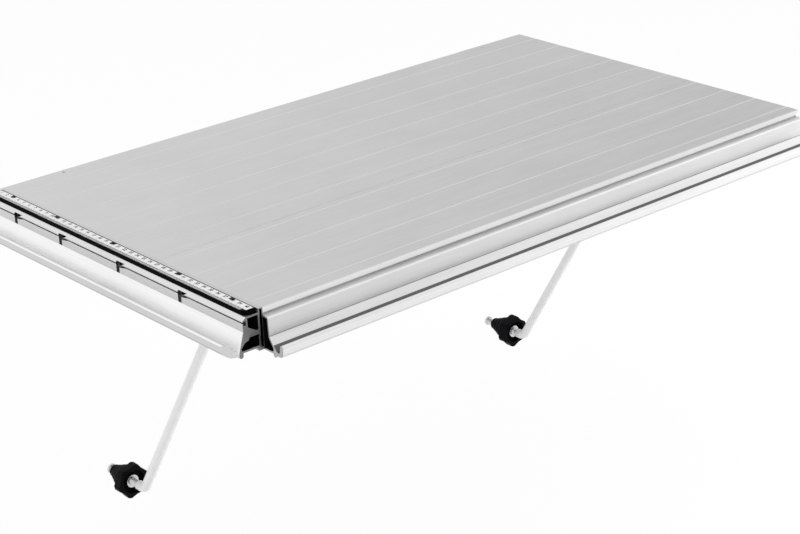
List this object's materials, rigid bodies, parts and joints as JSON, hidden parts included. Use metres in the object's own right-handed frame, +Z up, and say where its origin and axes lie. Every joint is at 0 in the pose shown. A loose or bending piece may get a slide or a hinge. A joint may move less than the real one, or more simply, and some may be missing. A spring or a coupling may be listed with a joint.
{
  "type": "table extension",
  "caption": "Grooved aluminium side table for a portable table saw, with edge rails, a scale and swinging struts that clamp to the saw's base",
  "frame": {"origin": "middle of the saw-side face of the saw-side rail, halfway between the table's surface and the rail's underside", "axes": "+X along the long side to the right as seen from the user, +Y towards the saw, +Z up"},
  "size_m": [0.7249, 0.4487, 0.3524],
  "materials": {
    "table_aluminium": "satin brushed",
    "rail_aluminium": "satin anodised",
    "carrier_plastic": "semi gloss",
    "tape_white": "printed",
    "knob_plastic": "fine grained",
    "bearing_plastic": "plain",
    "bracket_steel": "black powder coat",
    "strut_paint": "light grey lacquer",
    "angle_steel": "zinc plated",
    "fastener_steel": "zinc plated"
  },
  "bodies": {
    "table": {"beam_angles": "angle_steel", "beam_screws": "fastener_steel", "bracket_screws": "fastener_steel", "corner_screws": "fastener_steel", "end_rail": "rail_aluminium", "front_left_angle": "angle_steel", "front_plank": "table_aluminium", "front_rail": "rail_aluminium", "front_right_angle": "angle_steel", "hook_screws": "fastener_steel", "left_bracket": "bracket_steel", "left_cross_beam": "rail_aluminium", "left_friction_washers": "bearing_plastic", "left_hook": "bracket_steel", "left_pivot_bolt": "fastener_steel", "left_pivot_nut": "fastener_steel", "levelling_screws": "fastener_steel", "plank_screws": "fastener_steel", "rear_left_angle": "angle_steel", "rear_plank": "table_aluminium", "rear_right_angle": "angle_steel", "right_bracket": "bracket_steel", "right_cross_beam": "rail_aluminium", "right_friction_washers": "bearing_plastic", "right_hook": "bracket_steel", "right_pivot_bolt": "fastener_steel", "right_pivot_nut": "fastener_steel", "saw_side_rail": "rail_aluminium", "scale_carrier": "carrier_plastic", "scale_edge_strip": "rail_aluminium", "scale_rail": "rail_aluminium", "scale_tape": "tape_white"},
    "left_arm": {"left_strut": "strut_paint", "left_strut_bush": "bearing_plastic", "left_stud": "fastener_steel", "left_end_nut": "fastener_steel"},
    "left_cone": {"left_pressure_cone": "knob_plastic"},
    "left_grip": {"left_knob": "knob_plastic", "left_knob_insert": "fastener_steel"},
    "right_arm": {"right_strut": "strut_paint", "right_strut_bush": "bearing_plastic", "right_stud": "fastener_steel", "right_end_nut": "fastener_steel"},
    "right_cone": {"right_pressure_cone": "knob_plastic"},
    "right_grip": {"right_knob": "knob_plastic", "right_knob_insert": "fastener_steel"}
  },
  "joints": [
    {"name": "left_strut_swing", "type": "hinge", "parent": "table", "child": "left_arm", "pos_m": [-0.2672, -0.2587, -0.029], "axis": [1, 0, 0], "range_deg": [-32, 55]},
    {"name": "left_cone_travel", "type": "slide", "parent": "left_arm", "child": "left_cone", "axis": [0, 1, 0], "range_m": [-0.01025, 0.00305]},
    {"name": "left_knob_spin", "type": "hinge", "parent": "left_cone", "child": "left_grip", "pos_m": [-0.2672, -0.04995, -0.3161], "axis": [0, 1, 0], "range_deg": [-2937.6, 864]},
    {"name": "right_strut_swing", "type": "hinge", "parent": "table", "child": "right_arm", "pos_m": [0.2672, -0.2587, -0.029], "axis": [1, 0, 0], "range_deg": [-32, 55]},
    {"name": "right_cone_travel", "type": "slide", "parent": "right_arm", "child": "right_cone", "axis": [0, 1, 0], "range_m": [-0.00475, 0.00855]},
    {"name": "right_knob_spin", "type": "hinge", "parent": "right_cone", "child": "right_grip", "pos_m": [0.2672, -0.05998, -0.31894], "axis": [0, 1, 0], "range_deg": [-1353.6, 2448]}
  ],
  "couplings": [
    {"joint": "left_cone_travel", "follows": "left_knob_spin", "m_per_rad": 0.00019894},
    {"joint": "right_cone_travel", "follows": "right_knob_spin", "m_per_rad": 0.00019894}
  ]
}
